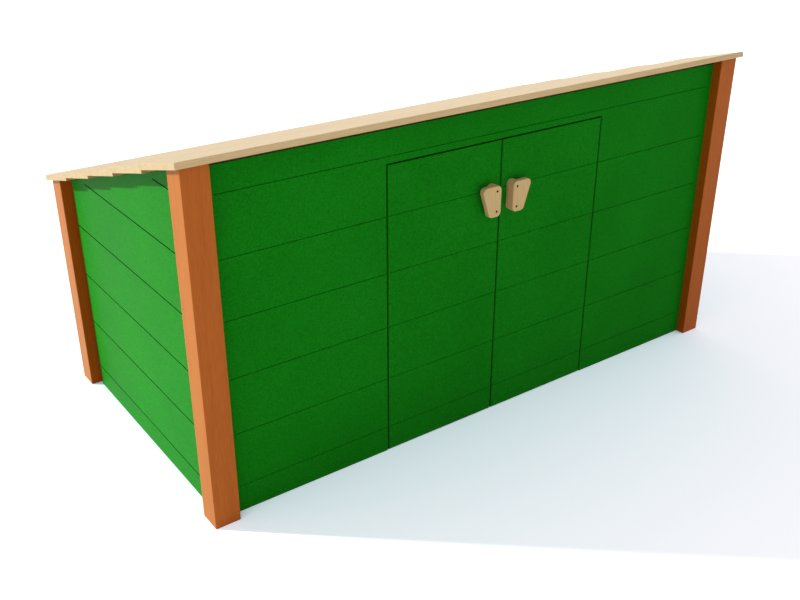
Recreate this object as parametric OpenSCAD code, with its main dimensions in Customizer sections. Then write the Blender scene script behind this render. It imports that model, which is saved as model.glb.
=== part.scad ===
// Bike shelter: a low timber shelter with grooved panel walls, a pair of doors and a lapped roof.
// The front faces -Y, +Z is up, and the origin is on the ground in the middle of the plan.

/* [Shelter] */
// Width over the posts
shelter_w = 2400; // [1800:10:3200]
// Depth over the posts
shelter_d = 1220; // [1000:10:1600]
// Height of the roof's underside at its front edge
roof_front_h = 1225; // [1000:5:1500]

/* [Posts and frame] */
// Side of a square post
post_w = 90; // [75:1:120]
// Height of a bottom rail
rail_h = 60; // [40:1:90]
// Height of the front and back beams
beam_h = 90; // [60:1:100]
// Height of a rafter
rafter_h = 80; // [50:1:90]
// Width of a jamb stud beside the doorway
jamb_w = 60; // [40:1:90]

/* [Walls] */
// Thickness of a wall panel
wall_t = 20; // [12:1:30]
// How far the wall faces stand behind the post faces
wall_setback = 38; // [20:1:46]
// Gap between the walls and the ground
wall_gap = 1; // [0:1:20]
// Gap between the front and back walls and the roof
wall_top_gap = 10; // [1:1:20]
// Gap between the side walls and the roof line
side_top_gap = 2.5; // [0.5:0.5:20]
// Distance from groove to groove
groove_pitch = 202.7; // [120:0.1:300]
// Height of the lowest groove on the front and back
front_groove_h = 99; // [40:0.5:180]
// Height of the lowest groove on the sides
side_groove_h = 89; // [40:0.5:180]
// Width of a groove
groove_w = 3; // [2:0.5:6]
// Depth of a groove
groove_depth = 4; // [2:0.5:5]
// Distance from the end of a groove to the post
groove_end = 22; // [0:1:60]
// Distance from the end of a groove up to the roof line
groove_stop = 25; // [20:1:60]

/* [Doors] */
// Width of the doorway
doorway_w = 980; // [800:5:1400]
// Height from the top of the doorway up to the roof
header_h = 121.5; // [110:0.5:250]
// Gap beside, over and between the doors
door_gap = 6; // [6:0.5:12]
// Height of a ledge on the inside of a door
ledge_h = 80; // [50:1:120]
// Thickness of a ledge
ledge_t = 20; // [12:1:30]
// Distance from a ledge's ends to the door's free edge and to its pivot line
ledge_inset = 40; // [20:1:80]
// Height of the low ledge's middle above the door's bottom edge
low_ledge_h = 190; // [120:5:300]

/* [Pivots] */
// Distance from a door's outer edge to its pivot line
pivot_inset = 60; // [55:1:90]
// Diameter of a pivot pin
pin_d = 8; // [6:0.5:10]
// How far a pin reaches into the door, and the top one into the header
pin_reach = 30; // [15:1:60]
// Thickness of the plate under a door's pivot
pivot_plate_t = 2; // [1:0.5:3.5]
// Gap between that plate and the door
pivot_plate_gap = 1; // [1:0.5:15]

/* [Grips] */
// Height of a grip
grip_h = 113; // [90:1:150]
// Width of a grip along its top
grip_top_w = 81; // [65:1:110]
// Width of a grip along its bottom
grip_bottom_w = 55; // [48:1:64]
// Thickness of a grip
grip_t = 20; // [12:1:30]
// Radius of the corners of a grip and its spacer
grip_corner_r = 17; // [6:1:18]
// Width of the spacer between a grip and the door
spacer_w = 37; // [36:1:46]
// Thickness of that spacer
spacer_t = 18; // [15:1:40]
// Distance between the two grips
grips_apart = 56; // [30:1:120]
// Distance from the door's top edge down to the grip's middle
grip_drop = 204; // [120:1:400]
// Diameter of a bolt hole in a grip
bolt_hole_d = 9; // [5:0.5:12]
// Distance between a grip's two bolt holes
bolt_spacing = 75; // [50:1:76]

/* [Roof] */
// How far the roof reaches past the posts
roof_overhang = 18; // [5:1:60]
// Slope of one roof board in degrees
roof_slope = 14.9; // [5:0.1:22]
// Number of roof boards
roof_boards = 5; // [4:1:7]
// Thickness of a roof board
roof_board_t = 20; // [16:1:30]
// How far each board lies below the one in front of it
roof_step = 10; // [5:0.5:14]
// How far each board reaches over the next one
roof_lap = 30; // [15:1:50]

/* [Hidden] */
$fn = 48;
// Clearance where one piece is seated on another
seat = 0.3;
// Running clearance round a pivot pin
pin_clearance = 0.1;
// How far a cut runs past the face that it leaves
overrun = 1;
// Width of the pivot plate past the pivot line, along the wall
plate_end = 20;
// How far the pivot plate stands back from the wall face
plate_setback = 5;
// A middle rafter's distance from the centre line, as a share of the width between the posts
middle_rafter_share = 1 / 6;

paint_green = [0.06, 0.40, 0.06];
stain_brown = [0.68, 0.36, 0.17];
pale_wood = [0.89, 0.79, 0.62];
grip_wood = [0.76, 0.64, 0.43];
raw_timber = [0.78, 0.62, 0.42];
steel = [0.62, 0.63, 0.65];

// Plan: outer faces, inner faces and wall faces, each measured from the centre lines
outer_x = shelter_w / 2;
outer_y = shelter_d / 2;
inner_x = outer_x - post_w;
inner_y = outer_y - post_w;
wall_x = outer_x - wall_setback;
wall_y = outer_y - wall_setback;
wall_back_x = wall_x - wall_t;
wall_back_y = wall_y - wall_t;

// Roof: every board lies at roof_slope, and every next one a step lower
roof_reach_x = outer_x + roof_overhang;
roof_reach_y = outer_y + roof_overhang;
board_cover = (2 * roof_reach_y + ((roof_boards - 1) * roof_step - roof_board_t) * sin(roof_slope))
    / (roof_boards * cos(roof_slope));
board_run = board_cover * cos(roof_slope) - roof_step * sin(roof_slope);
board_drop = board_cover * sin(roof_slope) + roof_step * cos(roof_slope);
last_board = roof_boards - 1;

// Doors, seen from the right-hand one
doorway_x = doorway_w / 2;
doorway_top = board_under(0, -wall_y) - header_h;
door_in = door_gap / 2;
door_out = doorway_x - door_gap;
door_top = doorway_top - door_gap;
door_bottom = pivot_plate_t + pivot_plate_gap;
pivot_x = door_out - pivot_inset;
pivot_y = -wall_y + wall_t / 2;
pin_r = pin_d / 2;
grip_middle = door_top - grip_drop;
grip_in = grips_apart / 2;
bolt_x = grip_in + spacer_w / 2;
ledge_heights = [grip_middle, door_bottom + low_ledge_h];

function roof_board_name(k) = str("roof_board_", k + 1);

// Place of the front lower edge of roof board k, counted from the front
function board_front_y(k) = -roof_reach_y + k * board_run;
function board_front_z(k) = roof_front_h - k * board_drop;

// Height of the underside of roof board k at depth y
function board_under(k, y) = board_front_z(k) - (y - board_front_y(k)) * tan(roof_slope);

// The straight line through the boards' front lower edges, on which the sides and rafters are cut
function roof_line(y) = roof_front_h - (y + roof_reach_y) * board_drop / board_run;
function roof_line_y(z) = (roof_front_h - z) * board_run / board_drop - roof_reach_y;

// Heights of the grooves between two levels
function grooves(first, low, high) =
    [for (z = [first : groove_pitch : high - groove_w]) if (z > low + groove_w) z];

// Draws right-hand pieces, or their mirror image on the left
module on_side(side) {
    if (side < 0) mirror([1, 0, 0]) children();
    else children();
}

// Carries an outline in depth and height from x0 to x1
module along_x(x0, x1) {
    translate([x0, 0, 0]) rotate([90, 0, 90]) linear_extrude(x1 - x0) children();
}

// Outline of a piece from y0 to y1 whose top is cut parallel to the underside of roof board k
module under_board(k, y0, y1, bottom, top_gap = seat) {
    polygon([
        [y0, bottom],
        [y1, bottom],
        [y1, board_under(k, y1) - top_gap],
        [y0, board_under(k, y0) - top_gap]
    ]);
}

// A groove along X in the front face of the front wall
module front_groove(x0, x1, z) {
    translate([x0, -wall_y - overrun, z - groove_w / 2])
        cube([x1 - x0, groove_depth + overrun, groove_w]);
}

module post(k, y0, y1, side) {
    color(stain_brown) on_side(side) along_x(inner_x, outer_x) under_board(k, y0, y1, 0);
}

module front_post(side) { post(0, -outer_y, -inner_y, side); }

module back_post(side) { post(last_board, inner_y, outer_y, side); }

// The panel beside the doorway
module front_wall(side) {
    groove_top = board_under(0, -wall_y) - groove_stop;
    color(paint_green) on_side(side) difference() {
        along_x(doorway_x, inner_x)
            under_board(0, -wall_y, -wall_back_y, wall_gap, wall_top_gap);
        for (z = grooves(front_groove_h, wall_gap, groove_top))
            front_groove(doorway_x - overrun, inner_x - groove_end, z);
    }
}

// The panel over the doorway, with the seats of the top pivot pins in its lower edge
module front_wall_header() {
    groove_top = board_under(0, -wall_y) - groove_stop;
    color(paint_green) difference() {
        along_x(-doorway_x, doorway_x)
            under_board(0, -wall_y, -wall_back_y, doorway_top, wall_top_gap);
        for (z = grooves(front_groove_h, doorway_top, groove_top))
            front_groove(-doorway_x - overrun, doorway_x + overrun, z);
        for (side = [-1, 1])
            on_side(side) translate([pivot_x, pivot_y, doorway_top - overrun])
                cylinder(r = pin_r + pin_clearance, h = pin_reach + seat + overrun);
    }
}

// A side panel: its grooves stop short of the posts and of the roof line
module side_wall(side) {
    color(paint_green) on_side(side) difference() {
        along_x(wall_back_x, wall_x) polygon([
            [-inner_y, wall_gap],
            [inner_y, wall_gap],
            [inner_y, roof_line(inner_y) - side_top_gap],
            [-inner_y, roof_line(-inner_y) - side_top_gap]
        ]);
        for (z = grooves(side_groove_h, wall_gap, roof_line(-inner_y) - groove_stop))
            side_groove(min(inner_y - groove_end, roof_line_y(z + groove_stop)), z);
    }
}

// A groove in a side panel, from the front post back to y1
module side_groove(y1, z) {
    y0 = groove_end - inner_y;
    translate([wall_x - groove_depth, y0, z - groove_w / 2])
        cube([groove_depth + overrun, y1 - y0, groove_w]);
}

module back_wall() {
    groove_x = inner_x - groove_end;
    groove_top = board_under(last_board, wall_y) - groove_stop;
    color(paint_green) difference() {
        along_x(-inner_x, inner_x)
            under_board(last_board, wall_back_y, wall_y, wall_gap, wall_top_gap);
        mirror([0, 1, 0])
            for (z = grooves(front_groove_h, wall_gap, groove_top))
                front_groove(-groove_x, groove_x, z);
    }
}

module front_beam() {
    color(raw_timber) along_x(-inner_x, inner_x)
        under_board(0, -wall_back_y, -inner_y, board_under(0, -inner_y) - beam_h);
}

module back_beam() {
    color(raw_timber) along_x(-inner_x, inner_x)
        under_board(last_board, inner_y, wall_back_y, board_under(last_board, inner_y) - beam_h);
}

// A rafter as thick as the frame, with its inner face at distance x from the centre line
module rafter(x, side) {
    top_front = roof_line(-inner_y) - seat;
    top_back = roof_line(inner_y) - seat;
    color(raw_timber) on_side(side) along_x(x, x + wall_back_x - inner_x) polygon([
        [-inner_y, top_front - rafter_h],
        [inner_y, top_back - rafter_h],
        [inner_y, top_back],
        [-inner_y, top_front]
    ]);
}

module side_rafter(side) { rafter(inner_x, side); }

module middle_rafter(side) { rafter(2 * inner_x * middle_rafter_share, side); }

module side_bottom_rail(side) {
    color(raw_timber) on_side(side) translate([inner_x, -inner_y, wall_gap])
        cube([wall_back_x - inner_x, 2 * inner_y, rail_h]);
}

module back_bottom_rail() {
    color(raw_timber) translate([-inner_x, inner_y, wall_gap])
        cube([2 * inner_x, wall_back_y - inner_y, rail_h]);
}

module front_bottom_rail(side) {
    x0 = doorway_x + jamb_w;
    color(raw_timber) on_side(side) translate([x0, -wall_back_y, wall_gap])
        cube([inner_x - x0, wall_back_y - inner_y, rail_h]);
}

// The stud beside the doorway, from the pivot plate up to the front beam
module jamb(side) {
    jamb_top = board_under(0, -inner_y) - beam_h;
    color(raw_timber) on_side(side) translate([doorway_x, -wall_back_y, pivot_plate_t])
        cube([jamb_w, wall_back_y - inner_y, jamb_top - pivot_plate_t]);
}

// The plate under the jamb, with a tongue under the door and the pin that carries the door
module bottom_pivot(side) {
    plate_x = pivot_x - plate_end;
    plate_far_x = doorway_x + jamb_w;
    tongue_y = -wall_y + plate_setback;
    color(steel) on_side(side) {
        linear_extrude(pivot_plate_t) polygon([
            [plate_x, tongue_y], [door_out, tongue_y], [door_out, -wall_back_y],
            [plate_far_x, -wall_back_y], [plate_far_x, -inner_y], [plate_x, -inner_y]
        ]);
        translate([pivot_x, pivot_y, 0]) cylinder(r = pin_r, h = door_bottom + pin_reach);
    }
}

module top_pin(side) {
    color(steel) on_side(side) translate([pivot_x, pivot_y, door_top - pin_reach])
        cylinder(r = pin_r, h = doorway_top - door_top + 2 * pin_reach);
}

// A door leaf, grooved in line with the walls and bored for its two pivot pins
module door(side) {
    bore_depth = pin_reach + seat;
    color(paint_green) on_side(side) difference() {
        translate([door_in, -wall_y, door_bottom])
            cube([door_out - door_in, wall_t, door_top - door_bottom]);
        for (z = grooves(front_groove_h, door_bottom, door_top))
            front_groove(door_in - overrun, door_out + overrun, z);
        for (z = [door_bottom - overrun, door_top - bore_depth])
            translate([pivot_x, pivot_y, z])
                cylinder(r = pin_r + pin_clearance, h = bore_depth + overrun);
    }
}

module ledge(z, side) {
    x0 = door_in + ledge_inset;
    color(raw_timber) on_side(side) translate([x0, -wall_back_y, z - ledge_h / 2])
        cube([pivot_x - ledge_inset - x0, ledge_t, ledge_h]);
}

// A plate with rounded corners, drawn from its corner points in width and height,
// whose back face is at y, and with the two bolt holes of the grip
module bolted_plate(corners, y, thickness) {
    difference() {
        translate([0, y, 0]) rotate([90, 0, 0]) linear_extrude(thickness) hull()
            for (corner = corners) translate(corner) circle(r = grip_corner_r, $fn = 40);
        for (z = [grip_middle - bolt_spacing / 2, grip_middle + bolt_spacing / 2])
            translate([bolt_x, y + overrun, z]) rotate([90, 0, 0])
                cylinder(d = bolt_hole_d, h = thickness + 2 * overrun);
    }
}

// Centres of the four corner arcs of a plate with an upright inner edge
function plate_corners(top_w, bottom_w) = [
    [grip_in + grip_corner_r, grip_middle + grip_h / 2 - grip_corner_r],
    [grip_in + top_w - grip_corner_r, grip_middle + grip_h / 2 - grip_corner_r],
    [grip_in + bottom_w - grip_corner_r, grip_middle - grip_h / 2 + grip_corner_r],
    [grip_in + grip_corner_r, grip_middle - grip_h / 2 + grip_corner_r]
];

module grip_spacer(side) {
    color(grip_wood) on_side(side)
        bolted_plate(plate_corners(spacer_w, spacer_w), -wall_y, spacer_t);
}

module grip(side) {
    color(grip_wood) on_side(side)
        bolted_plate(plate_corners(grip_top_w, grip_bottom_w), -wall_y - spacer_t, grip_t);
}

// A roof board: every one but the last is rebated under its rear edge over the next board.
// Its outline is drawn along and across the slope, from its front lower edge.
module roof_board(k) {
    rebate_u = board_cover - seat;
    rebate_v = roof_board_t - roof_step + seat;
    rear_u = board_cover + roof_lap;
    outline = k == last_board
        ? [[0, 0], [board_cover, 0], [board_cover, roof_board_t], [0, roof_board_t]]
        : [
            [0, 0], [rebate_u, 0], [rebate_u, rebate_v], [rear_u, rebate_v],
            [rear_u, roof_board_t], [0, roof_board_t]
        ];
    color(pale_wood) along_x(-roof_reach_x, roof_reach_x)
        translate([board_front_y(k), board_front_z(k)]) rotate(-roof_slope) polygon(outline);
}

front_post(-1);  // front_left_post
front_post(1);  // front_right_post
back_post(-1);  // back_left_post
back_post(1);  // back_right_post
front_wall(-1);  // front_wall_left
front_wall(1);  // front_wall_right
front_wall_header();
side_wall(-1);  // left_wall
side_wall(1);  // right_wall
back_wall();
front_beam();
back_beam();
side_rafter(-1);  // left_rafter
side_rafter(1);  // right_rafter
middle_rafter(-1);  // middle_left_rafter
middle_rafter(1);  // middle_right_rafter
side_bottom_rail(-1);  // left_bottom_rail
side_bottom_rail(1);  // right_bottom_rail
back_bottom_rail();
front_bottom_rail(-1);  // front_left_bottom_rail
front_bottom_rail(1);  // front_right_bottom_rail
jamb(-1);  // left_jamb
jamb(1);  // right_jamb
bottom_pivot(-1);  // left_bottom_pivot
bottom_pivot(1);  // right_bottom_pivot
top_pin(-1);  // left_top_pin
top_pin(1);  // right_top_pin
door(-1);  // left_door
door(1);  // right_door
ledge(ledge_heights[0], -1);  // left_top_ledge
ledge(ledge_heights[0], 1);  // right_top_ledge
ledge(ledge_heights[1], -1);  // left_low_ledge
ledge(ledge_heights[1], 1);  // right_low_ledge
grip_spacer(-1);  // left_grip_spacer
grip_spacer(1);  // right_grip_spacer
grip(-1);  // left_grip
grip(1);  // right_grip
for (k = [0:last_board])
    roof_board(k);
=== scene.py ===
# %% [markdown]
# # A painted bike shelter
# The shelter is a low timber house for bicycles: four stained posts, painted panel walls with
# milled grooves, a pair of flush doors and a roof of five long lapped boards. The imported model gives
# each piece its size and place. Here each piece is made again as a surface worked out with numpy,
# with the eased arrises and the grooves' round ends that a joiner would leave on it.

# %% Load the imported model
import math

import bmesh
import bpy
import numpy as np
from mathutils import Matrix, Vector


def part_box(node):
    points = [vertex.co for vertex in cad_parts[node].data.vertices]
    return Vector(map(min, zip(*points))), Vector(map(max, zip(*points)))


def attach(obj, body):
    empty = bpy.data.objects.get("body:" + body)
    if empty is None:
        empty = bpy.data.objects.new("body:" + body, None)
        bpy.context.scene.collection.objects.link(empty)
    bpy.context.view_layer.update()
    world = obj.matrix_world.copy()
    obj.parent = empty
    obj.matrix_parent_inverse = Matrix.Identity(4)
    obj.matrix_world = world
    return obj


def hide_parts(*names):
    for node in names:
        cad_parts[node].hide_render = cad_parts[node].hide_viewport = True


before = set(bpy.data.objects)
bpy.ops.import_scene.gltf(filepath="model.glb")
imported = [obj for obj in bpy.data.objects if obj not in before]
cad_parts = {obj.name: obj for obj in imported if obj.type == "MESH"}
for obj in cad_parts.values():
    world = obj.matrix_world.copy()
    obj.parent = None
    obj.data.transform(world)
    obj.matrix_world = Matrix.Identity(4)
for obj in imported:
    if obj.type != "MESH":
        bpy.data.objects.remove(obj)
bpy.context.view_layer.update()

bpy.context.scene.view_settings.view_transform = "Standard"
print("pieces in the packed model:", len(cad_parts))

# %% [markdown]
# ## From arrays to objects
# Every surface below is an array of points and an array of corner numbers. One helper numbers the
# quads of a grid, and one puts the arrays into a mesh, closes its seams, turns its faces outwards
# and ties it to the body that it rides on. An object stays at the origin and its place is in
# its mesh, so a pattern on Object coordinates stays where it is on the piece.

# %% Grid of quads, and a finished piece
MM = 0.001
WELD = 0.01 * MM


def grid_quads(rows, columns, closed=False):
    """Corner numbers of a grid's quads, row by row; a closed grid joins its last column to its first."""
    number = np.arange(rows * columns).reshape(rows, columns)
    if closed:
        number = np.hstack([number, number[:, :1]])
    corners = [number[:-1, :-1], number[:-1, 1:], number[1:, 1:], number[1:, :-1]]
    return np.stack(corners, axis=-1).reshape(-1, 4)


def add_piece(name, points, faces, finish, body, nodes):
    """One object at the origin, on its body and with its finish, in the place of its nodes.

    Points that coincide are welded, and faces are turned outwards.
    """
    mesh = bpy.data.meshes.new(name)
    mesh.from_pydata(np.asarray(points, float).reshape(-1, 3).tolist(), [], faces)
    welded = bmesh.new()
    welded.from_mesh(mesh)
    bmesh.ops.remove_doubles(welded, verts=welded.verts, dist=WELD)
    bmesh.ops.dissolve_degenerate(welded, edges=welded.edges, dist=WELD)
    bmesh.ops.recalc_face_normals(welded, faces=welded.faces)
    open_edges = sum(not edge.is_manifold for edge in welded.edges)
    welded.to_mesh(mesh)
    welded.free()
    mesh.materials.append(finish)
    piece = bpy.data.objects.new(name, mesh)
    bpy.context.scene.collection.objects.link(piece)
    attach(piece, body)
    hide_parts(*nodes)
    print(f"{name}: {len(mesh.polygons)} faces, {open_edges} open edges")
    return piece


print("quads of a grid of 2 rows and 3 columns:", grid_quads(2, 3).tolist())

# %% [markdown]
# ## Finishes
# A finish is a small tree of nodes. Pictures of paint and wood would do from afar, but they blur
# close up and repeat, so noise makes the pattern here, read at each point's own place on the
# piece. Each helper below adds one kind of node, which keeps the finishes short enough to read.

# %% Helpers for finishes: nodes and colours
def new_finish(name, specular):
    """An empty material, its node tree and its shader with a constant specular level."""
    material = bpy.data.materials.new(name)
    material.use_nodes = True
    tree = material.node_tree
    shader = tree.nodes["Principled BSDF"]
    shader.inputs["Specular IOR Level"].default_value = specular
    return material, tree, shader


def add_node(tree, kind, **values):
    """A node of that kind with its input values; an underscore stands for a blank."""
    made = tree.nodes.new("ShaderNode" + kind)
    for name, value in values.items():
        made.inputs[name.replace("_", " ")].default_value = value
    return made


def add_ramp(tree, factor, *stops):
    """A colour ramp through (position, colour) stops; returns its colour output."""
    ramp = tree.nodes.new("ShaderNodeValToRGB")
    while len(ramp.color_ramp.elements) < len(stops):
        ramp.color_ramp.elements.new(1.0)
    for element, (position, colour) in zip(ramp.color_ramp.elements, stops):
        element.position = position
        element.color = (*colour, 1.0)
    tree.links.new(factor, ramp.inputs["Fac"])
    return ramp.outputs["Color"]


def add_blend(tree, mode, factor, first, second):
    """Two colours mixed by a mode; each may be a socket or a constant."""
    mix = tree.nodes.new("ShaderNodeMix")
    mix.data_type = "RGBA"
    mix.blend_type = mode
    for socket, value in ((mix.inputs[0], factor), (mix.inputs[6], first), (mix.inputs[7], second)):
        if isinstance(value, bpy.types.NodeSocket):
            tree.links.new(value, socket)
        else:
            socket.default_value = value
    return mix.outputs[2]


def grey(level):
    """A neutral colour of one level."""
    return (level, level, level)


# %% Helpers for finishes: ranges, relief and the way a face looks
FACING_SPAN = (0.7, 0.9)


def add_range(tree, value, low, high, new_low, new_high):
    """Moves a value from one range to another."""
    made = add_node(tree, "MapRange")
    for index, number in enumerate((low, high, new_low, new_high), start=1):
        made.inputs[index].default_value = number
    tree.links.new(value, made.inputs[0])
    return made.outputs[0]


def add_bump(tree, shader, height, strength, distance):
    """Small relief: the shader's normal tilts with the slope of the height."""
    bump = add_node(tree, "Bump", Strength=strength, Distance=distance)
    tree.links.new(height, bump.inputs["Height"])
    tree.links.new(bump.outputs["Normal"], shader.inputs["Normal"])


def facing(tree, normal, way):
    """1 where a face looks along an axis, and 0 elsewhere, from the normal's part along that axis.

    "X" means both ways along the axis, "-Z" means down alone.
    """
    parts = tree.nodes.new("ShaderNodeSeparateXYZ")
    tree.links.new(normal, parts.inputs[0])
    part = tree.nodes.new("ShaderNodeMath")
    part.operation = "MULTIPLY" if way[0] == "-" else "ABSOLUTE"
    part.inputs[1].default_value = -1.0
    tree.links.new(parts.outputs[way[-1]], part.inputs[0])
    return add_range(tree, part.outputs[0], *FACING_SPAN, 0.0, 1.0)


# %% [markdown]
# ## Green paint
# The panels are rolled with a satin green. Slow clouds choose between three near greens, and a fine
# noise gives the roller's stipple, both as specks and as relief. The side walls get a paler tone of
# their own, a painted sheen that stands in for light reflected off their paint. In the grooves an
# attribute on the mesh makes the paint dark, as painted shade, and dull.

# %% Green paint with a roller stipple
NOISE_LOW, NOISE_MIDDLE, NOISE_HIGH = 0.3, 0.5, 0.7
PAINT_DEEP = (0.0060, 0.1965, 0.0060)
PAINT = (0.0072, 0.213, 0.0072)
PAINT_WORN = (0.0086, 0.2297, 0.0086)
# The tone for the side walls is a painted sheen: it stands in for light reflected off their paint.
PAINT_SIDE_SHEEN = (2.35, 1.03, 1.9)
PAINT_SATIN = (0.32, 0.40)
SPECK_DARK = 0.74
SPECK_PALE = 1.24
# The grooves' shade is painted shade: it darkens the paint inside each groove.
GROOVE_SHADE = (0.02, 0.17, 0.02)


def paint_finish():
    """Colour = a cloud's green × a speck × the side walls' painted sheen × the grooves' painted shade.
    """
    material, tree, shader = new_finish("green paint", specular=0.0088)
    source = add_node(tree, "TexCoord")
    cloud = add_node(tree, "TexNoise", Scale=2.4, Detail=4.0, Roughness=0.55)
    stipple = add_node(tree, "TexNoise", Scale=150.0, Detail=3.0, Roughness=0.7)
    for noise in (cloud, stipple):
        tree.links.new(source.outputs["Object"], noise.inputs["Vector"])
    greens = ((NOISE_LOW, PAINT_DEEP), (NOISE_MIDDLE, PAINT), (NOISE_HIGH, PAINT_WORN))
    specks = ((NOISE_LOW, grey(SPECK_DARK)), (NOISE_MIDDLE, grey(1.0)), (NOISE_HIGH, grey(SPECK_PALE)))
    tone = add_ramp(tree, cloud.outputs["Fac"], *greens)
    speck = add_ramp(tree, stipple.outputs["Fac"], *specks)
    groove = tree.nodes.new("ShaderNodeAttribute")
    groove.attribute_name = "groove"
    speckled = add_blend(tree, "MULTIPLY", 1.0, tone, speck)
    # The side walls' tone is a painted sheen, and the grooves' dark paint is painted shade.
    sheen_side = facing(tree, source.outputs["Normal"], "X")
    with_painted_sheen = add_blend(tree, "MULTIPLY", sheen_side, speckled, (*PAINT_SIDE_SHEEN, 1.0))
    shaded = add_blend(tree, "MULTIPLY", groove.outputs["Fac"], with_painted_sheen, (*GROOVE_SHADE, 1.0))
    tree.links.new(shaded, shader.inputs["Base Color"])
    satin = add_range(tree, cloud.outputs["Fac"], NOISE_LOW, NOISE_HIGH, *PAINT_SATIN)
    matt = add_blend(tree, "MIX", groove.outputs["Fac"], satin, (1.0, 1.0, 1.0, 1.0))
    tree.links.new(matt, shader.inputs["Roughness"])
    add_bump(tree, shader, stipple.outputs["Fac"], strength=0.25, distance=0.6 * MM)
    return material


green_paint = paint_finish()
print("paint:", green_paint.name, "with", len(green_paint.node_tree.nodes), "nodes")

# %% [markdown]
# ## Wood, raw or stained
# All the woods share one recipe: noise that is stretched along the grain gives the wide bands and
# the fine fibres. A tone for each way that a face looks sets cut ends and sawn edges apart. Some
# tones are painted light or shade: a painted shade on the roof boards' undersides, and a painted tint
# of sunlight on the posts' faces that look sideways. A post's inner faces, in the corners beside the
# walls, get a painted shade as well. An attribute shifts the pattern from board to board, because no
# two boards come from the same place in a log.

# %% Wood, raw or stained
ALONG_STRETCH = 0.05
BAND_STEPS = (0.32, 0.52, 0.62, 0.72)
FIBRE_STEPS = (0.35, 0.6)
FIBRE_DEPTH = 0.12
WOOD_SPREAD = 0.06
INWARDS_SPAN = (-0.1, -0.3)


def facing_inwards(tree, source):
    """1 where a face looks towards the middle of the shelter, where place · normal is below zero."""
    product = tree.nodes.new("ShaderNodeVectorMath")
    product.operation = "DOT_PRODUCT"
    tree.links.new(source.outputs["Object"], product.inputs[0])
    tree.links.new(source.outputs["Normal"], product.inputs[1])
    return add_range(tree, product.outputs["Value"], *INWARDS_SPAN, 0.0, 1.0)


def wood_finish(name, axis, pale, dark, specular, roughness, tones, inner_shade=None):
    """Colour = bands of growth × fine fibres × a tone for the way that a face looks × the painted
    shade of a post's inner faces. Some of the tones are painted light or shade as well.

    Both are noise whose place is squeezed along one axis, so that its grain is long that way.
    """
    material, tree, shader = new_finish(name, specular)
    source = add_node(tree, "TexCoord")
    board = tree.nodes.new("ShaderNodeAttribute")
    board.attribute_name = "board"
    shifted = tree.nodes.new("ShaderNodeVectorMath")
    shifted.operation = "ADD"
    tree.links.new(source.outputs["Object"], shifted.inputs[0])
    tree.links.new(board.outputs["Vector"], shifted.inputs[1])
    squeeze = [1.0, 1.0, 1.0]
    squeeze["XYZ".index(axis)] = ALONG_STRETCH
    drawn = add_node(tree, "Mapping", Scale=squeeze)
    tree.links.new(shifted.outputs["Vector"], drawn.inputs["Vector"])
    bands = add_node(tree, "TexNoise", Scale=38.0, Detail=3.0, Roughness=0.55, Distortion=0.4)
    fibres = add_node(tree, "TexNoise", Scale=420.0, Detail=2.0, Roughness=0.6)
    for noise in (bands, fibres):
        tree.links.new(drawn.outputs["Vector"], noise.inputs["Vector"])
    growth = add_ramp(tree, bands.outputs["Fac"], *zip(BAND_STEPS, (dark, pale, pale, dark)))
    thread_tones = (grey(1.0 - FIBRE_DEPTH), grey(1.0))
    thread = add_ramp(tree, fibres.outputs["Fac"], *zip(FIBRE_STEPS, thread_tones))
    colour = add_blend(tree, "MULTIPLY", 1.0, growth, thread)
    shares = [(facing(tree, source.outputs["Normal"], way), tone) for way, tone in tones.items()]
    # Inner faces, in the corners beside the walls, get a painted shade.
    if inner_shade:
        shares.append((facing_inwards(tree, source), inner_shade))
    for share, tone in shares:
        colour = add_blend(tree, "MULTIPLY", share, colour, (*tone, 1.0))
    tree.links.new(colour, shader.inputs["Base Color"])
    smooth, rough = roughness - WOOD_SPREAD, roughness + WOOD_SPREAD
    dullness = add_range(tree, fibres.outputs["Fac"], NOISE_LOW, NOISE_HIGH, smooth, rough)
    tree.links.new(dullness, shader.inputs["Roughness"])
    add_bump(tree, shader, fibres.outputs["Fac"], strength=0.2, distance=0.4 * MM)
    return material


# %% [markdown]
# ## Steel
# The pivots and the bolts are steel that has lost its shine. A metal has only the colour of its
# reflection, so a cloudy noise on that colour and on the roughness is all that it takes.

# %% Steel
STEEL_LIFT = 1.25
STEEL_SPREAD = 0.08


def steel_finish(name, colour, roughness):
    """A metal whose brightness and roughness follow one cloudy noise."""
    material, tree, shader = new_finish(name, specular=0.5)
    shader.inputs["Metallic"].default_value = 1.0
    place = add_node(tree, "TexCoord").outputs["Object"]
    cloud = add_node(tree, "TexNoise", Scale=160.0, Detail=3.0)
    tree.links.new(place, cloud.inputs["Vector"])
    light = tuple(min(1.0, STEEL_LIFT * level) for level in colour)
    tone = add_ramp(tree, cloud.outputs["Fac"], (NOISE_LOW, colour), (NOISE_HIGH, light))
    tree.links.new(tone, shader.inputs["Base Color"])
    smooth, rough = roughness - STEEL_SPREAD, roughness + STEEL_SPREAD
    dullness = add_range(tree, cloud.outputs["Fac"], NOISE_LOW, NOISE_HIGH, smooth, rough)
    tree.links.new(dullness, shader.inputs["Roughness"])
    return material


# %% [markdown]
# ## The woods and steels of this shelter
# Stained posts, pale roof boards, sanded grips and raw timber differ only in their numbers, so each
# is one call. The tones multiply red, green and blue. The posts' sideways tone is a painted sunlit
# tint, and the roof boards' downward tone is painted shade. The front edges of the lower roof boards
# lie in the shade under the board above, and that shade is painted on them, so those boards get a
# finish of their own.

# %% The woods and steels of this shelter
CUT_END = grey(0.86)
POST_PALE = (0.59, 0.146, 0.0262)
POST_DARK = (0.545, 0.132, 0.0233)
# The posts' inner tone is painted shade for the corners beside the walls.
POST_INNER_SHADE = (0.785, 0.58, 0.25)
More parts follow.
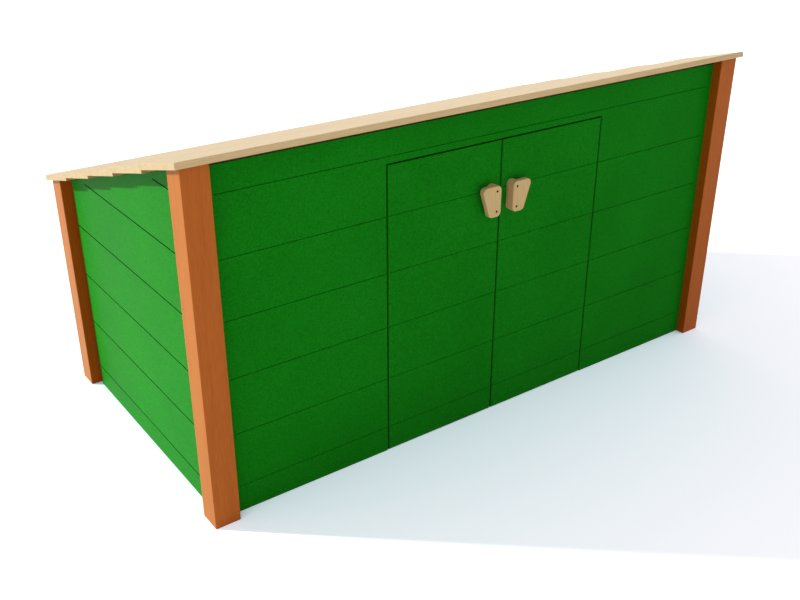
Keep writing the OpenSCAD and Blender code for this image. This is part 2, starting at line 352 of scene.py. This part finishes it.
# The posts' tone for faces that look sideways is a painted tint of sunlight; the cut end tone is the
# wood's own.
POST_ENDS_AND_SUNLIT_TINT = {"X": (0.955, 1.06, 0.97), "Z": CUT_END}
ROOF_PALE = (0.777, 0.552, 0.393)
ROOF_DARK = (0.723, 0.498, 0.342)
# The downward tone of the roof boards is painted shade on their undersides.
ROOF_TONES_AND_UNDERSIDE_SHADE = {"X": (0.885, 0.84, 0.725), "Y": (1.10, 1.065, 0.80), "-Z": (0.37, 0.22, 0.165)}
# The tone for faces that look to the front paints the shade under each board above onto the lower
# boards' front edges.
LAP_TONES_AND_EDGE_SHADE = {**ROOF_TONES_AND_UNDERSIDE_SHADE, "-Y": (0.80, 0.70, 0.57)}
GRIP_PALE = (0.815, 0.545, 0.262)
GRIP_DARK = (0.755, 0.497, 0.232)
GRIP_TONES = {"X": (0.97, 0.84, 0.92), "Z": (0.92, 0.84, 0.86)}
TIMBER_PALE = (0.60, 0.42, 0.22)
TIMBER_DARK = (0.47, 0.30, 0.13)
PIVOT_GREY = (0.16, 0.16, 0.165)
BOLT_BROWN = (0.035, 0.012, 0.001)

post_stain = wood_finish(
    "orange brown stain", "Z", POST_PALE, POST_DARK,
    specular=0.04, roughness=0.35, tones=POST_ENDS_AND_SUNLIT_TINT, inner_shade=POST_INNER_SHADE,
)
roof_wood, lap_wood_with_shade = [
    wood_finish(name, "X", ROOF_PALE, ROOF_DARK, specular=0.08, roughness=0.65, tones=tones)
    for name, tones in (("pale roof wood", ROOF_TONES_AND_UNDERSIDE_SHADE), ("lap roof wood with painted shade", LAP_TONES_AND_EDGE_SHADE))
]
grip_wood = wood_finish(
    "sanded grip wood", "Z", GRIP_PALE, GRIP_DARK, specular=0.08, roughness=0.55, tones=GRIP_TONES
)
raw_timber = {
    axis: wood_finish(
        "raw timber along " + axis, axis, TIMBER_PALE, TIMBER_DARK,
        specular=0.2, roughness=0.7, tones={axis: CUT_END},
    )
    for axis in "XYZ"
}
pivot_steel = steel_finish("dull steel", PIVOT_GREY, roughness=0.5)
bolt_steel = steel_finish("browned bolt steel", BOLT_BROWN, roughness=0.55)
print("finishes:", sorted(material.name for material in bpy.data.materials if material.users == 0))

# %% [markdown]
# ## Posts and frame timbers
# A timber is the simplest of all surfaces: an outline carried along a straight line. A stretched cube
# would do for a rail, but not for a post with its top cut to the roof's slope, so the outline
# of each one is read from the end of its own node. A sawn timber isn't razor sharp, so a
# Bevel modifier takes the arrises off. Its hardened normals keep the broad faces flat in the light.

# %% A timber's outline, arrises and grain
NEAR = 0.1 * MM
ARRIS_STEPS = 3
BOARD_SHIFT = np.array([1.7, 2.3, 3.1])


def end_outline(node):
    """Corners of a node's left end as (y, z), put in order by their angle round the middle."""
    points = np.array([vertex.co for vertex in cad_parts[node].data.vertices])
    at_end = np.isclose(points[:, 0], points[:, 0].min(), atol=NEAR)
    corners = np.unique(points[at_end][:, 1:].round(5), axis=0)
    spokes = corners - corners.mean(axis=0)
    return corners[np.argsort(np.arctan2(spokes[:, 1], spokes[:, 0]))]


def carry_along_x(outline, x_from, x_to):
    """An outline carried along x: point = (x, outline y, outline z) at both ends, closed by two caps."""
    ends = np.array([x_from, x_to])
    count = len(outline)
    points = np.empty((2, count, 3))
    points[..., 0] = ends[:, None]
    points[..., 1:] = outline
    caps = [list(range(count)), list(range(count, 2 * count))]
    return points, grid_quads(2, count, closed=True).tolist() + caps


def ease_arrises(piece, width):
    """Rounds every edge sharper than 30 degrees, and shades flat faces as flat."""
    bevel = piece.modifiers.new("eased arrises", "BEVEL")
    bevel.width = width
    bevel.segments = ARRIS_STEPS
    bevel.limit_method = "ANGLE"
    bevel.harden_normals = True
    piece.data.shade_smooth()


def number_board(piece, number):
    """Stores a shift of the grain on the piece, a different one for each number."""
    layer = piece.data.attributes.new("board", "FLOAT_VECTOR", "POINT")
    layer.data.foreach_set("vector", np.tile(BOARD_SHIFT * number, len(piece.data.vertices)))


# %% Posts and frame
POST_ARRIS = 2.5 * MM
FRAME_ARRIS = 1.5 * MM


def add_timber(number, node, finish, arris):
    """A straight timber in the place of its node."""
    low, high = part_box(node)
    points, faces = carry_along_x(end_outline(node), low.x, high.x)
    piece = add_piece(node + "_timber", points, faces, finish, "shelter", [node])
    number_board(piece, number)
    ease_arrises(piece, arris)


posts = [f"{end}_{side}_post" for end in ("front", "back") for side in ("left", "right")]
for number, node in enumerate(posts):
    add_timber(number, node, post_stain, POST_ARRIS)

frame_grain = {
    "X": ["front_beam", "back_beam", "back_bottom_rail"]
    + ["front_left_bottom_rail", "front_right_bottom_rail"],
    "Y": ["left_bottom_rail", "right_bottom_rail"]
    + ["left_rafter", "right_rafter", "middle_left_rafter", "middle_right_rafter"],
    "Z": ["left_jamb", "right_jamb"],
}
for axis, nodes in frame_grain.items():
    for number, node in enumerate(nodes, start=len(posts)):
        add_timber(number, node, raw_timber[axis], FRAME_ARRIS)

# %% [markdown]
# ## Grooved sheets
# The walls and doors are flat boards with fine milled grooves. A picture of a groove would go flat in
# raking light, so the grooves are cut in the surface: the sheet is a grid whose rows lie close
# together at each groove, and each row is pushed in by its depth. Where a groove stops short of a
# post, the cutter leaves a round end, so the depth follows a quarter circle along the last
# millimetres. The same grid at the board's back, and strips round the rim, close the sheet.

# %% The grid of a grooved sheet
GROOVE_PITCH = 202.7 * MM
GROOVE_W = 3 * MM
GROOVE_DEPTH = 4 * MM
GROOVE_LIP = 0.5 * MM
END_ROUND = 4 * MM
END_STEPS = 4


def groove_heights(first, top):
    """Heights of the grooves from the first one up to the top, one pitch apart."""
    return np.arange(first, top, GROOVE_PITCH)


def groove_rows(heights, ease):
    """Height, depth and groove number of six rows for each groove: lip, edge, floor, floor, edge, lip.

    The ease widens the groove on both sides, as sanding does.
    """
    half = GROOVE_W / 2 + ease
    core = half - GROOVE_LIP
    across = np.array([-half, -core, -core, core, core, half])
    depth = np.array([0, GROOVE_LIP, GROOVE_DEPTH, GROOVE_DEPTH, GROOVE_LIP, 0])
    rows = np.asarray(heights)[:, None] + across
    number = np.repeat(np.arange(len(heights)), len(across))
    return rows.ravel(), np.tile(depth, len(heights)), number


def end_places(start, stop):
    """Places along a groove's round ends, closer together towards the tip as on a quarter circle."""
    step = END_ROUND * (1 - np.cos(np.linspace(0, np.pi / 2, END_STEPS + 1)))
    return np.concatenate([start + step, stop - step])


def end_share(along, start, stop):
    """Share of full depth: the height of a quarter circle over the distance from the nearer end."""
    inside = np.minimum(along - start, stop - along)
    part = np.clip(inside / END_ROUND, 0, 1)
    return np.sqrt(1 - (1 - part) ** 2)


def grooved_grid(low, high, bottom, top, heights, starts, stops, more_along=(), more_up=(), ease=0):
    """Places along, heights and sink depths of a sheet's grid, with grooves from start to stop."""
    rows, depth, number = groove_rows(heights, ease)
    levels = np.concatenate([rows, [bottom, top], more_up])
    depth = np.concatenate([depth, np.zeros(len(levels) - len(depth))])
    number = np.concatenate([number, np.zeros(len(levels) - len(number), int)])
    order = np.argsort(levels, kind="stable")
    starts, stops = np.asarray(starts)[:, None], np.asarray(stops)[:, None]
    ends = end_places(starts, stops)
    along = np.unique(np.concatenate([[low, high], more_along, ends.ravel()]).round(6))
    along = along[(along >= low) & (along <= high)]
    sink = depth[:, None] * end_share(along, starts[number], stops[number])
    return along, levels[order], sink[order]


rows, depths, _ = groove_rows([0.0], ease=0)
print("rows of one groove in mm:", (rows / MM).round(1).tolist())
print("their depths in mm:", (depths / MM).round(1).tolist())

# %% From the grid to a closed sheet
def top_ends(node, outward, across):
    """Top edge of a sheet on one of its faces: places along and heights of its two ends."""
    points = np.array([vertex.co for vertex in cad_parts[node].data.vertices])
    sideways = np.array([-outward[1], outward[0]])
    on_face = points[np.isclose(points[:, :2] @ outward, across, atol=NEAR)]
    along = on_face[:, :2] @ sideways
    ends = np.array([along.min(), along.max()])
    heights = [on_face[np.isclose(along, end, atol=NEAR)][:, 2].max() for end in ends]
    return ends, np.array(heights)


def closed_sheet(outward, out, back, along, levels, sink, rise, tops, keep):
    """Point = outward × (face − sink) + sideways × along + up × height; behind, back + rise.

    Heights stop at the top edge, cells that aren't kept stay open, and each edge between a
    kept and an open cell gets a strip from front to back.
    """
    sideways = np.array([-outward[1], outward[0]])
    rows, columns = len(levels), len(along)
    points = np.empty((2, rows, columns, 3))
    for side, depth in enumerate((out - sink, back + rise)):
        points[side, ..., :2] = depth[..., None] * outward + along[:, None] * sideways
        points[side, ..., 2] = np.minimum(levels[:, None], np.interp(along, *tops[side]))
    number = np.arange(rows * columns).reshape(rows, columns)
    front = grid_quads(rows, columns)[keep.ravel()]
    behind = rows * columns
    padded = np.pad(keep, 1)
    across_edge = padded[1:-1, :-1] != padded[1:-1, 1:]
    up_edge = padded[:-1, 1:-1] != padded[1:, 1:-1]
    upright = np.stack([number[:-1][across_edge], number[1:][across_edge]], axis=-1)
    level = np.stack([number[:, :-1][up_edge], number[:, 1:][up_edge]], axis=-1)
    rim = np.concatenate([upright, level])
    strips = np.concatenate([rim, rim[:, ::-1] + behind], axis=-1)
    faces = np.concatenate([front, front[:, ::-1] + behind, strips])
    return points, faces.tolist()


# %% [markdown]
# ## Front wall
# The panels beside the doorway and the header over it share their grooves and look like one board, so
# they are made as one sheet. The doorway's cells are left out of the grid. A Boolean cut would
# work too, but this way every face stays a quad, and the doorway's edge can be eased.

# %% Front wall, one sheet round the doorway
FRONT = np.array([0.0, -1.0])
FRONT_GROOVE = 99 * MM
GROOVE_END = 22 * MM
RIM_EASE = 1.0 * MM


def add_front_wall():
    """The two side panels and the header as one sheet: cells in the doorway aren't kept."""
    low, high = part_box("front_wall_left")
    opening, header_low = high.x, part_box("front_wall_header")[0].z
    end = -low.x
    heights = groove_heights(FRONT_GROOVE, high.z)
    starts = np.full(len(heights), -end + GROOVE_END)
    more_along = [opening, opening - RIM_EASE, -opening, RIM_EASE - opening]
    more_up = [header_low, header_low + RIM_EASE]
    along, levels, sink = grooved_grid(
        -end, end, low.z, high.z, heights, starts, -starts, more_along, more_up
    )
    middle = (along[1:] + along[:-1]) / 2
    centre = (levels[1:] + levels[:-1]) / 2
    keep = (np.abs(middle) > -opening) | (centre[:, None] > header_low)
    inside = (np.abs(along) < -opening + WELD) & (levels[:, None] < header_low + WELD)
    sink = np.maximum(sink, RIM_EASE * inside)
    out, back = -low.y, -high.y
    tops = []
    for across in (out, back):
        height = top_ends("front_wall_left", FRONT, across)[1][0]
        tops.append(([-end, end], [height, height]))
    rise = np.zeros_like(sink)
    points, faces = closed_sheet(FRONT, out, back, along, levels, sink, rise, tops, keep)
    nodes = ["front_wall_left", "front_wall_header", "front_wall_right"]
    add_piece("front_wall", points, faces, green_paint, "shelter", nodes)


add_front_wall()

# %% [markdown]
# ## Side and back walls
# These are whole sheets with a top that follows the roof. Each groove stops short of the posts, or
# where the sloping top comes near. Sanding has widened the lips of these grooves by a fraction of a
# millimetre, and the faces inside them are marked, so that the paint there can carry a painted shade.
# A darker line painted on would look the same from afar, but it wouldn't keep its depth close up.

# %% Side and back walls
BACK = np.array([0.0, 1.0])
LEFT = np.array([-1.0, 0.0])
RIGHT = np.array([1.0, 0.0])
SIDE_GROOVE = 89 * MM
SIDE_EASE = 0.6 * MM
SIDE_STOP = 22.5 * MM
BACK_STOP = 15 * MM
TOP_PLACES = 2001


def darken_grooves(piece, outward, out):
    """Marks the faces that lie behind the sheet's face, but no deeper than a groove, for painted shade.
    """
    middles = np.empty(3 * len(piece.data.polygons))
    piece.data.polygons.foreach_get("center", middles)
    depth = out - middles.reshape(-1, 3)[:, :2] @ outward
    marked = (depth > WELD) & (depth < GROOVE_DEPTH + WELD)
    layer = piece.data.attributes.new("groove", "FLOAT", "FACE")
    layer.data.foreach_set("value", marked.astype(np.float32))
    print(piece.name, "faces in grooves:", marked.sum())


def add_plain_wall(node, outward, first_groove, stop):
    """A whole wall: each groove runs where the top edge, less the stop, is higher than the groove."""
    low, high = np.array(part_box(node))
    back, out = sorted(np.abs([low[:2] @ outward, high[:2] @ outward]))
    tops = [top_ends(node, outward, out), top_ends(node, outward, back)]
    reach = tops[0][0]
    heights = groove_heights(first_groove, high[2])
    fine = np.linspace(*reach, TOP_PLACES)
    room = np.interp(fine, *tops[0]) - stop
    under = [fine[room > height] for height in heights]
    heights = heights[[len(places) > 0 for places in under]]
    under = [places for places in under if len(places)]
    starts = np.array([max(places.min(), reach[0] + GROOVE_END) for places in under])
    stops = np.array([min(places.max(), reach[1] - GROOVE_END) for places in under])
    along, levels, sink = grooved_grid(*reach, low[2], high[2], heights, starts, stops, ease=SIDE_EASE)
    keep = np.ones((len(levels) - 1, len(along) - 1), bool)
    rise = np.zeros_like(sink)
    points, faces = closed_sheet(outward, out, back, along, levels, sink, rise, tops, keep)
    sheet = add_piece(node + "_sheet", points, faces, green_paint, "shelter", [node])
    darken_grooves(sheet, outward, out)


add_plain_wall("left_wall", LEFT, SIDE_GROOVE, SIDE_STOP)
add_plain_wall("right_wall", RIGHT, SIDE_GROOVE, SIDE_STOP)
add_plain_wall("back_wall", BACK, FRONT_GROOVE, BACK_STOP)

# %% [markdown]
# ## Doors
# A leaf is one more grooved sheet. Its grooves run out through both edges and meet those of the wall
# when the door is shut. All four edges are eased on both faces, by pushing in the grid's outer
# rows and columns, which a Bevel modifier would muddle at the ends of the grooves.

# %% Doors
FAR_PAST = 10.0


def add_door(side):
    """A flush leaf: the sink is the groove's depth, or the ease along the four edges."""
    node = side + "_door"
    low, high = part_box(node)
    heights = groove_heights(FRONT_GROOVE, high.z)
    starts = np.full(len(heights), -FAR_PAST)
    more_along = [low.x + RIM_EASE, high.x - RIM_EASE]
    more_up = [low.z + RIM_EASE, high.z - RIM_EASE]
    along, levels, sink = grooved_grid(
        low.x, high.x, low.z, high.z, heights, starts, -starts, more_along, more_up
    )
    rim = np.ones(sink.shape, bool)
    rim[1:-1, 1:-1] = False
    sink = np.maximum(sink, RIM_EASE * rim)
    keep = np.ones((len(levels) - 1, len(along) - 1), bool)
    flat_top = ([low.x, high.x], [high.z, high.z])
    points, faces = closed_sheet(
        FRONT, -low.y, -high.y, along, levels, sink, RIM_EASE * rim, [flat_top, flat_top], keep
    )
    add_piece(node + "_leaf", points, faces, green_paint, side + "_leaf", [node])


for side in ("left", "right"):
    add_door(side)

# %% [markdown]
# ## Door ledges
# Two battens hold the back of each door flat. They are timbers like those of the frame, but they
# ride on the door, so they swing with it.

# %% Ledges
LEDGE_ARRIS = 2 * MM

for side in ("left", "right"):
    body = side + "_leaf"
    for number, place in enumerate(("top", "low")):
        node = f"{side}_{place}_ledge"
        low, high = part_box(node)
        points, faces = carry_along_x(end_outline(node), low.x, high.x)
        ledge = add_piece(node + "_batten", points, faces, raw_timber["X"], body, [node])
        number_board(ledge, number)
        ease_arrises(ledge, LEDGE_ARRIS)

# %% [markdown]
# ## Roof boards
# Each board lies flatter than the roof as a whole: its lower face is stepped, so that it laps over the
# next board down. Five tilted cubes would clash there. The step is a six-cornered outline in
# the board's own directions, along and across the slope, which is turned into the frame's y
# and z and carried along the roof's whole width.

# %% Roof boards
ROOF_SLOPE = math.radians(14.9)
BOARD_T = 20 * MM
LAP = 30 * MM
LAP_STEP = 10 * MM
LAP_SEAT = 0.3 * MM
BOARD_ARRIS = 0.8 * MM
BOARDS = 5


def board_outline(node, last):
    """Corners along and across the slope, turned: y grows and z falls by the slope's cosine and sine."""
    low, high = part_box(node)
    down, across = math.cos(ROOF_SLOPE), math.sin(ROOF_SLOPE)
    length = (high.y - low.y - BOARD_T * across) / down
    if last:
        shape = [[0, 0], [length, 0], [length, BOARD_T], [0, BOARD_T]]
    else:
        step = length - LAP - LAP_SEAT
        under = BOARD_T - LAP_STEP + LAP_SEAT
        shape = [[0, 0], [step, 0], [step, under], [length, under], [length, BOARD_T], [0, BOARD_T]]
    along, up = np.array(shape).T
    y = low.y + along * down + up * across
    z = high.z - BOARD_T * down - along * across + up * down
    return np.stack([y, z], axis=-1)


for number in range(1, BOARDS + 1):
    node = f"roof_board_{number}"
    name = f"lapped_board_{number}"
    low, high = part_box(node)
    points, faces = carry_along_x(board_outline(node, number == BOARDS), low.x, high.x)
    finish = roof_wood if number == 1 else lap_wood_with_shade
    roof_board = add_piece(name, points, faces, finish, "shelter", [node])
    number_board(roof_board, number)
    ease_arrises(roof_board, BOARD_ARRIS)

# %% [markdown]
# ## Grips
# A grip is a small plate, wider at the top, with round corners and a soft edge, held off the door by
# a spacer block and two bolts. Its rim is a set of rings: a point is a corner's centre plus a
# radius times a direction, and the ring shrinks as it turns over the edge. Each half of the face is a
# fan of straight lines from the bolt hole to the outline, and the same lines go on down the hole and
# out over the back, so the plate is closed. A Boolean would cut the holes too, but it leaves long
# thin faces that shade badly.

# %% Outline and rim of a plate
CORNER_STEPS = 10
EDGE_STEPS = 6


def rounded_outline(centre):
    """Centres and directions round an outline: point = centre + radius × direction, turning at corners.

    Two more points, in the middle of the second and the fourth edge, split it into a lower and
    an upper half.
    """
    edge = np.roll(centre, -1, axis=0) - centre
    edge /= np.linalg.norm(edge, axis=1, keepdims=True)
    normal = np.stack([edge[:, 1], -edge[:, 0]], axis=1)
    before = np.roll(normal, 1, axis=0)
    start = np.arctan2(before[:, 1], before[:, 0])
    turn = (np.arctan2(normal[:, 1], normal[:, 0]) - start) % (2 * np.pi)
    angle = start[:, None] + turn[:, None] * np.linspace(0, 1, CORNER_STEPS + 1)
    arcs = np.stack([np.cos(angle), np.sin(angle)], axis=-1)
    hubs = np.repeat(centre[:, None], CORNER_STEPS + 1, axis=1)
    split_hubs = (centre[[1, 3]] + centre[[2, 0]]) / 2
    split_arcs = normal[[1, 3]]
    lower, upper = slice(0, 2), slice(2, 4)
    hub_list = [hubs[lower].reshape(-1, 2), split_hubs[:1], hubs[upper].reshape(-1, 2), split_hubs[1:]]
    arc_list = [arcs[lower].reshape(-1, 2), split_arcs[:1], arcs[upper].reshape(-1, 2), split_arcs[1:]]
    return np.concatenate(hub_list), np.concatenate(arc_list)


def plate_rim(hubs, arcs, radius, edge, thickness):
    """Rings from the front over the edge to the back: inset edge × (1 − sin), depth edge × (1 − cos)."""
    turn = np.linspace(0, np.pi / 2, EDGE_STEPS + 1)
    inset = edge * (1 - np.sin(turn))
    depth = edge * (1 - np.cos(turn))
    insets = np.concatenate([inset, inset[::-1]])
    depths = np.concatenate([depth, thickness - depth[::-1]])
    rings = hubs + (radius - insets)[:, None, None] * arcs
    return rings, depths


# %% Bolt holes, and the closed plate
HOLE_R = 4.5 * MM
HOLE_LIP = 0.7 * MM
MIDDLE_STEPS = 8


def hole_fan(loop, hole, thickness):
    """Rows from a loop on the front to the hole's lip, down the hole, and out to the loop behind."""
    spokes = loop - hole
    spokes /= np.linalg.norm(spokes, axis=1, keepdims=True)
    lip, wall = hole + (HOLE_R + HOLE_LIP) * spokes, hole + HOLE_R * spokes
    rows = np.stack([loop, lip, wall, wall, lip, loop])
    depths = np.array([0, 0, HOLE_LIP, thickness - HOLE_LIP, thickness, thickness])
    return rows, depths


def bolted_plate(centres, radius, edge, front, thickness, holes):
    """Points and faces of a plate: its rim and the fans of its lower and upper bolt hole."""
    hubs, arcs = rounded_outline(centres)
    rings, depths = plate_rim(hubs, arcs, radius, edge, thickness)
    face = rings[0]
    outer, inner = 2 * (CORNER_STEPS + 1), len(face) - 1
    share = np.linspace(0, 1, MIDDLE_STEPS + 1)[1:-1, None]
    middle = face[outer] + share * (face[inner] - face[outer])
    lower = np.concatenate([face[inner:], face[: outer + 1], middle])
    upper = np.concatenate([face[outer : inner + 1], middle[::-1]])
    fans = [hole_fan(loop, hole, thickness) for loop, hole in zip((lower, upper), holes)]
    points, faces, count = [], [], 0
    for rows, row_depths in [(rings, depths)] + fans:
        flat = np.empty((*rows.shape[:2], 3))
        flat[..., [0, 2]] = rows
        flat[..., 1] = front + row_depths[:, None]
        points.append(flat.reshape(-1, 3))
        faces.append(grid_quads(*rows.shape[:2], closed=True) + count)
        count += rows.shape[0] * rows.shape[1]
    return np.concatenate(points), np.concatenate(faces).tolist()


# %% Grips
GRIP_TOP_W = 81 * MM
GRIP_BOTTOM_W = 55 * MM
GRIP_CORNER = 17 * MM
GRIP_EDGE = 1.5 * MM
GRIP_SHARP = math.radians(40)
SPACER_EDGE = 1 * MM
BOLT_SPACING = 75 * MM


def corner_centres(inner, widths, low_z, high_z, toward_right):
    """Centres of a plate's four round corners, counter-clockwise; its inner edge is upright."""
    low_x, low_z, high_z = inner + GRIP_CORNER, low_z + GRIP_CORNER, high_z - GRIP_CORNER
    bottom_x, top_x = [inner + width - GRIP_CORNER for width in widths]
    centres = np.array([[low_x, low_z], [bottom_x, low_z], [top_x, high_z], [low_x, high_z]])
    return centres if toward_right else (centres * [-1, 1])[[1, 0, 3, 2]]


def add_grip(side):
    """The grip plate and the spacer block behind it, both drilled for the same two bolts."""
    body, right = side + "_leaf", side == "right"
    grip_low, grip_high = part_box(side + "_grip")
    block_low, block_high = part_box(side + "_grip_spacer")
    bolt_x = (block_low.x + block_high.x) / 2
    bolt_z = (grip_low.z + grip_high.z) / 2 + BOLT_SPACING / 2 * np.array([-1, 1])
    holes = np.stack([np.full(2, bolt_x), bolt_z], axis=-1)
    inner = min(abs(grip_low.x), abs(grip_high.x))
    shape = corner_centres(inner, (GRIP_BOTTOM_W, GRIP_TOP_W), grip_low.z, grip_high.z, right)
    thickness = grip_high.y - grip_low.y
    points, faces = bolted_plate(shape, GRIP_CORNER, GRIP_EDGE, grip_low.y, thickness, holes)
    grip = add_piece(side + "_grip_plate", points, faces, grip_wood, body, [side + "_grip"])
    width = block_high.x - block_low.x
    shape = corner_centres(inner, (width, width), block_low.z, block_high.z, right)
    thickness = block_high.y - block_low.y
    points, faces = bolted_plate(shape, GRIP_CORNER, SPACER_EDGE, block_low.y, thickness, holes)
    block = add_piece(
        side + "_grip_block", points, faces, grip_wood, body, [side + "_grip_spacer"]
    )
    for number, piece in enumerate((grip, block), start=3 if right else 1):
        number_board(piece, number)
        piece.data.shade_smooth()
        piece.data.set_sharp_from_angle(angle=GRIP_SHARP)
    return holes, grip_low.y


bolt_places = {side: add_grip(side) for side in ("left", "right")}

# %% [markdown]
# ## Bolts
# A bolt head of browned steel lies almost flush in each hole of a grip, with a six-sided socket for
# the key. A cylinder with a hexagon cut out of it would do, but a turned profile needs no cut: only
# in the socket does the radius follow a hexagon, as its half width divided by the cosine of
# the angle from the nearest flat.

# %% Bolts
BOLT_PLAY = 0.2 * MM
BOLT_R = HOLE_R - BOLT_PLAY
BOLT_SINK = 0.5 * MM
BOLT_HEAD = 5 * MM
BOLT_EASE = 0.5 * MM
SOCKET_HALF = 2 * MM
SOCKET_DEPTH = 2.5 * MM
BOLT_SIDES = 24


def bolt_rings(place, front):
    """Rings of one bolt head: radius and depth turned about y; the socket's radius follows a hexagon."""
    angle = np.linspace(0, 2 * np.pi, BOLT_SIDES, endpoint=False)
    sixth = np.pi / 3
    hexagon = SOCKET_HALF / np.cos((angle + sixth / 2) % sixth - sixth / 2)
    round_one = np.ones(BOLT_SIDES)
    radii = [0 * round_one, BOLT_R * round_one, BOLT_R * round_one, (BOLT_R - BOLT_EASE) * round_one]
    radii += [hexagon, hexagon, 0 * round_one]
    depths = [BOLT_HEAD, BOLT_HEAD, BOLT_EASE, 0, 0, SOCKET_DEPTH, SOCKET_DEPTH]
    rings = np.empty((len(radii), BOLT_SIDES, 3))
    rings[..., 0] = place[0] + np.stack(radii) * np.cos(angle)
    rings[..., 1] = front + BOLT_SINK + np.array(depths)[:, None]
    rings[..., 2] = place[1] + np.stack(radii) * np.sin(angle)
    return rings


for side, (holes, front) in bolt_places.items():
    heads = np.stack([bolt_rings(hole, front) for hole in holes])
    one = grid_quads(*heads.shape[1:3], closed=True)
    faces = np.concatenate([one, one + heads[0].size // 3]).tolist()
    add_piece(side + "_grip_bolts", heads, faces, bolt_steel, side + "_leaf", [])

# %% [markdown]
# ## Pivots
# The doors turn on hidden steel pivots: a plate with a pin at the bottom, and at the top a pin
# of the bolts' dark steel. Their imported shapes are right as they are, so they only get their finish.

# %% Steel on the pivots
for side in ("left", "right"):
    for node, steel in ((side + "_bottom_pivot", pivot_steel), (side + "_top_pin", bolt_steel)):
        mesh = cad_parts[node].data
        mesh.materials.clear()
        mesh.materials.append(steel)
        print(node, "gets", steel.name)

# %% [markdown]
# ## Floor
# The shelter stands on a plain pale floor that runs out to white. More lamps could lift it, but they
# would wash out the shelter too. So the floor glows, but only where it is seen, by the camera or in a
# mirror: the more open sky a point has, the stronger the glow. It fades beside the walls and ends
# inside the closed shelter, and the shadow stays soft.

# %% Floor
FLOOR_HALF = 40.0
FLOOR_REACH = 1.5
FLOOR_SAMPLES = 8
FLOOR_GLOW = (
    (0.15, (0.0, 0.0, 0.0)),
    (0.45, (0.315, 0.423, 0.483)),
    (0.70, (0.408, 0.493, 0.550)),
    (1.00, (0.510, 0.540, 0.583)),
)
FLOOR_SEEN = (0.95, 0.85, 0.85)
FLOOR_BOUNCE = grey(0.95)


def seen_directly(tree):
    """1 for what the camera sees itself, in a mirror or through glass, and 0 for light on its way."""
    path = tree.nodes.new("ShaderNodeLightPath")
    total = path.outputs["Is Camera Ray"]
    for name in ("Is Glossy Ray", "Is Transmission Ray"):
        larger = tree.nodes.new("ShaderNodeMath")
        larger.operation = "MAXIMUM"
        tree.links.new(total, larger.inputs[0])
        tree.links.new(path.outputs[name], larger.inputs[1])
        total = larger.outputs[0]
    return total


def floor_finish():
    """A matt pale floor: one colour for the camera, one for bounced light, and a glow by open sky."""
    material, tree, shader = new_finish("pale floor", specular=0.0)
    shader.inputs["Roughness"].default_value = 1.0
    by_camera = tree.nodes.new("ShaderNodeLightPath").outputs["Is Camera Ray"]
    pale = add_blend(tree, "MIX", by_camera, (*FLOOR_BOUNCE, 1.0), (*FLOOR_SEEN, 1.0))
    tree.links.new(pale, shader.inputs["Base Color"])
    open_sky = add_node(tree, "AmbientOcclusion", Distance=FLOOR_REACH)
    open_sky.samples = FLOOR_SAMPLES
    glow = add_ramp(tree, open_sky.outputs["AO"], *FLOOR_GLOW)
    tree.links.new(glow, shader.inputs["Emission Color"])
    tree.links.new(seen_directly(tree), shader.inputs["Emission Strength"])
    return material


def add_floor():
    """One large pale square under the posts."""
    mesh = bpy.data.meshes.new("floor")
    corners = FLOOR_HALF * np.array([[-1, -1, 0], [1, -1, 0], [1, 1, 0], [-1, 1, 0]])
    mesh.from_pydata(corners.tolist(), [], [[0, 1, 2, 3]])
    mesh.materials.append(floor_finish())
    floor = bpy.data.objects.new("floor", mesh)
    bpy.context.scene.collection.objects.link(floor)
    print("floor:", 2 * FLOOR_HALF, "metres wide")


add_floor()

# %% [markdown]
# ## Sky and sun
# A low sun from behind on the left lights the roof and the left wall and throws the shadow forward to
# the right, and a pale even sky fills the rest. A sun lamp is the plainest choice: its rays are
# parallel, and its angle alone sets how soft a shadow's edge is. Where the sky is seen, it is white.

# %% Sky and sun
SKY = (0.52, 0.52, 0.53)
SUN_FROM = np.array([-0.643, 0.5645, 0.438])
SUN_STRENGTH = 3.57
SUN_ANGLE = math.radians(2.0)
SUN_COLOUR = (0.85, 1.05, 0.92)


def add_sky():
    """An even pale sky for light, and plain white where it is seen directly."""
    world = bpy.data.worlds.new("sky")
    world.use_nodes = True
    tree = world.node_tree
    colour = add_blend(tree, "MIX", seen_directly(tree), (*SKY, 1.0), (1.0, 1.0, 1.0, 1.0))
    tree.links.new(colour, tree.nodes["Background"].inputs["Color"])
    bpy.context.scene.world = world


def add_sun():
    """A sun lamp that shines from the direction SUN_FROM; returns its height over the horizon."""
    height = math.asin(SUN_FROM[2] / np.linalg.norm(SUN_FROM))
    sun = bpy.data.objects.new("sun", bpy.data.lights.new("sun", "SUN"))
    sun.rotation_euler = (0, math.pi / 2 - height, math.atan2(SUN_FROM[1], SUN_FROM[0]))
    sun.data.energy = SUN_STRENGTH
    sun.data.angle = SUN_ANGLE
    sun.data.color = SUN_COLOUR
    bpy.context.scene.collection.objects.link(sun)
    return height


add_sky()
sun_height = add_sun()
print("sun height in degrees:", round(math.degrees(sun_height), 1))

# %% [markdown]
# ## Camera
# The view could be set by eye, but its place and turn were worked out from the straight edges of the
# posts, grooves and roof, which is exact. It looks down on the shelter from its front left corner.

# %% Camera
VIEW_WIDTH = math.radians(44.92)
SENSOR_WIDTH = 36
CAMERA_PLACE = (-2.1833, -2.9778, 2.0444)
CAMERA_TURN = (64.015, 0.0, -35.985)

camera = bpy.data.objects.new("camera", bpy.data.cameras.new("camera"))
camera.location = CAMERA_PLACE
camera.rotation_euler = [math.radians(angle) for angle in CAMERA_TURN]
camera.data.sensor_width = SENSOR_WIDTH
camera.data.angle = VIEW_WIDTH
bpy.context.scene.collection.objects.link(camera)
bpy.context.scene.camera = camera
print("lens in millimetres:", round(camera.data.lens, 1))
